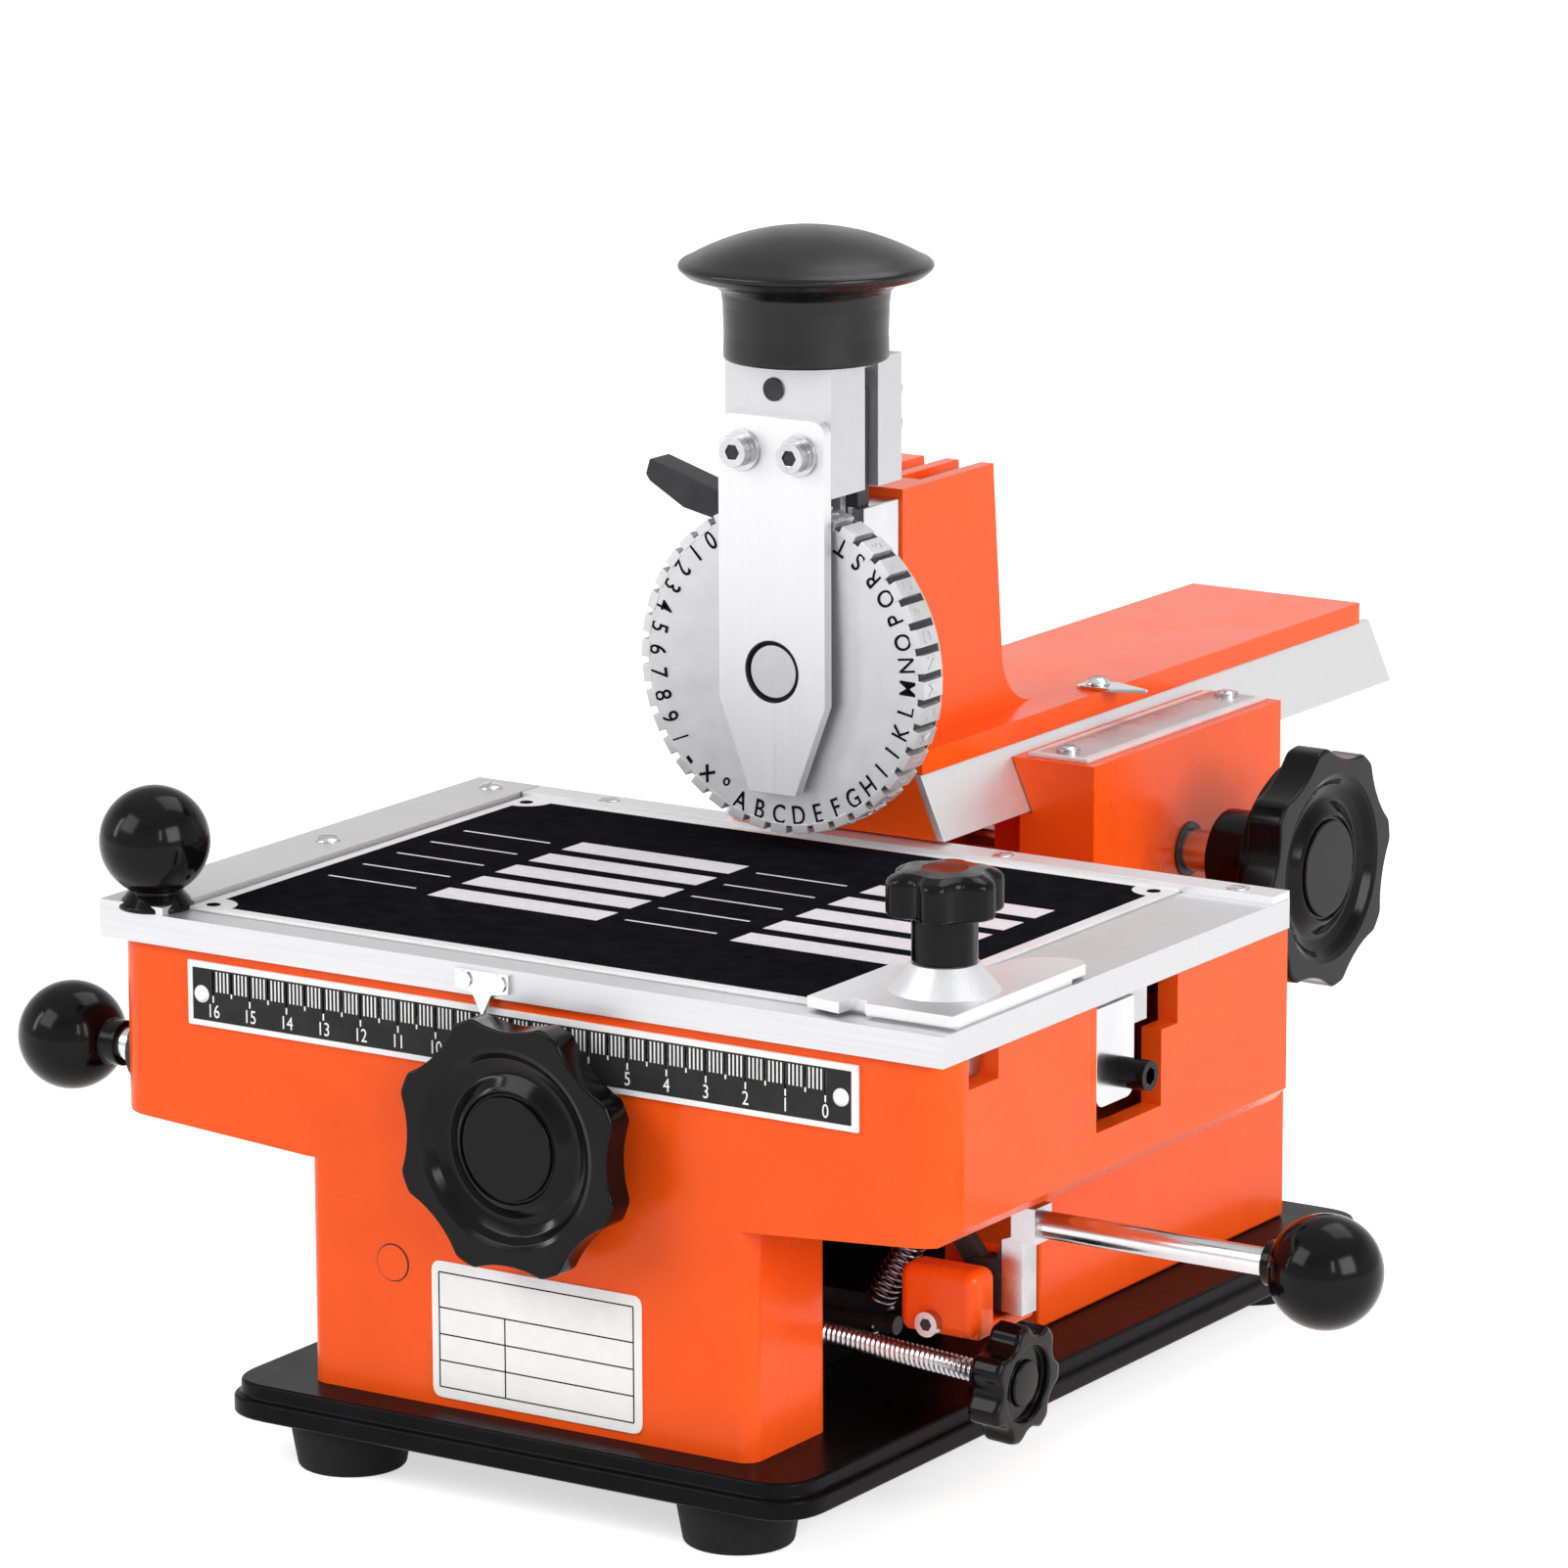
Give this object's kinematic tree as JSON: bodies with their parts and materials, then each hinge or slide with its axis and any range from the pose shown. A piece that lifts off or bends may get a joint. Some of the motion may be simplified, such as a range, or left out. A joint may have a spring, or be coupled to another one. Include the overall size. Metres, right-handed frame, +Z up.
{
  "type": "metal tag embosser",
  "caption": "Hand-worked metal tag embosser: a type wheel on a sliding head over a cross-travel table, with handwheels, press knob and step lever on a cast pedestal.",
  "frame": {"origin": "on the floor under the middle of the object's overall width and depth", "axes": "+X to the operator's right, +Y from the operator to the back, +Z up"},
  "size_m": [0.3268, 0.369, 0.2639],
  "materials": {
    "orange_paint": "glossy orange enamel over a casting",
    "black_paint": "semi-gloss black enamel",
    "foot_rubber": "moulded black rubber",
    "black_plastic": "glossy black moulded plastic",
    "scale_black": "black enamelled scale with white marks",
    "plate_black": "black printed name plate with bare blank fields",
    "fence_pale": "pale smooth strip",
    "bracket_white": "plated bright sheet",
    "bright_metal": "finely brushed bright metal",
    "steel": "turned and plated steel",
    "dark_steel": "blackened steel"
  },
  "bodies": {
    "frame": {"base_plate": "black_paint", "rubber_feet": "foot_rubber", "foot_screws": "steel", "body_casing": "orange_paint", "inner_pedestal": "orange_paint", "rear_pedestal": "orange_paint", "pedestal_plug": "orange_paint", "scale_plate": "scale_black", "scale_rivets": "bright_metal", "slide_guides": "steel", "way_base": "orange_paint", "way_blocks": "orange_paint", "way_scale": "bright_metal", "frame_screws": "steel", "bushes": "steel", "lever_bracket": "orange_paint", "lever_pins": "steel", "return_spring": "steel"},
    "table": {"work_table": "bright_metal", "table_slides": "steel", "table_rack": "steel", "stop_bracket": "bracket_white", "stop_screw": "dark_steel", "table_pointer": "bright_metal", "pointer_rivets": "steel", "left_clamp_bar": "bright_metal", "clamp_ball": "black_plastic", "rear_fence": "fence_pale", "table_screws": "steel", "sample_plate": "plate_black", "corner_clamp": "bright_metal", "clamp_stud": "steel"},
    "star": {"star_knob": "black_plastic"},
    "front_wheel": {"front_handwheel": "black_plastic", "front_shaft": "steel"},
    "head": {"head_casting": "orange_paint", "dovetail_strips": "bright_metal", "head_rack": "steel", "beam_pointer": "bright_metal", "beam_screw": "steel", "guide_block": "bright_metal", "guide_bar": "dark_steel", "ram_spring": "steel"},
    "side_wheel": {"side_handwheel": "black_plastic", "side_shaft": "steel"},
    "ram": {"ram_column": "bright_metal", "ram_screws": "steel", "wheel_plate": "bright_metal", "wheel_axle": "steel", "press_knob": "black_plastic", "index_pin": "steel"},
    "type_wheel_body": {"type_wheel": "bright_metal"},
    "index_lever_body": {"index_lever": "dark_steel"},
    "step_lever_body": {"step_lever": "bright_metal", "lever_ball": "black_plastic"},
    "spacer": {"spacer_screw": "steel", "spacer_knob": "black_plastic"},
    "release": {"release_rod": "bright_metal", "release_ball": "black_plastic"}
  },
  "joints": [
    {"name": "table_slide", "type": "slide", "parent": "frame", "child": "table", "axis": [1, 0, 0], "range_m": [-0.066, 0.071]},
    {"name": "front_wheel_turn", "type": "hinge", "parent": "frame", "child": "front_wheel", "pos_m": [-0.0125, -0.1635, 0.0845], "axis": [0, 1, 0], "range_deg": [-205, 220]},
    {"name": "head_slide", "type": "slide", "parent": "frame", "child": "head", "axis": [0, 1, 0], "range_m": [-0.07, 0]},
    {"name": "side_wheel_turn", "type": "hinge", "parent": "frame", "child": "side_wheel", "pos_m": [0.0355, 0.0535, 0.1075], "axis": [1, 0, 0], "range_deg": [-5, 305]},
    {"name": "ram_press", "type": "slide", "parent": "head", "child": "ram", "axis": [0, 0, -1], "range_m": [0, 0.004], "stiffness_N_per_m": 1200, "springref_m": -0.012, "deforming": ["ram_spring"]},
    {"name": "type_turn", "type": "hinge", "parent": "ram", "child": "type_wheel_body", "pos_m": [-0.0285, -0.0455, 0.164], "axis": [0, 1, 0], "continuous": true},
    {"name": "index_swing", "type": "hinge", "parent": "ram", "child": "index_lever_body", "pos_m": [-0.0502, -0.0315, 0.1982], "axis": [0, -1, 0], "range_deg": [0, 10]},
    {"name": "step_swing", "type": "hinge", "parent": "frame", "child": "step_lever_body", "pos_m": [0.068, -0.1185, 0.052], "axis": [0, 1, 0], "range_deg": [0, 9], "stiffness_Nm_per_rad": 0.4, "springref_deg": -17.19, "deforming": ["return_spring"]},
    {"name": "spacer_turn", "type": "hinge", "parent": "frame", "child": "spacer", "pos_m": [0.0155, -0.1305, 0.039], "axis": [0.9978, 0, -0.0663], "continuous": true},
    {"name": "release_pull", "type": "slide", "parent": "frame", "child": "release", "axis": [-1, 0, 0], "range_m": [0, 0.008], "stiffness_N_per_m": 400, "springref_m": -0.005},
    {"name": "star_turn", "type": "hinge", "parent": "table", "child": "star", "pos_m": [0.075, -0.1475, 0.14], "axis": [0, 0, 1], "continuous": true}
  ],
  "couplings": [
    {"joint": "front_wheel_turn", "follows": "table_slide", "rad_per_m": 52.632},
    {"joint": "side_wheel_turn", "follows": "head_slide", "rad_per_m": -74.074}
  ]
}
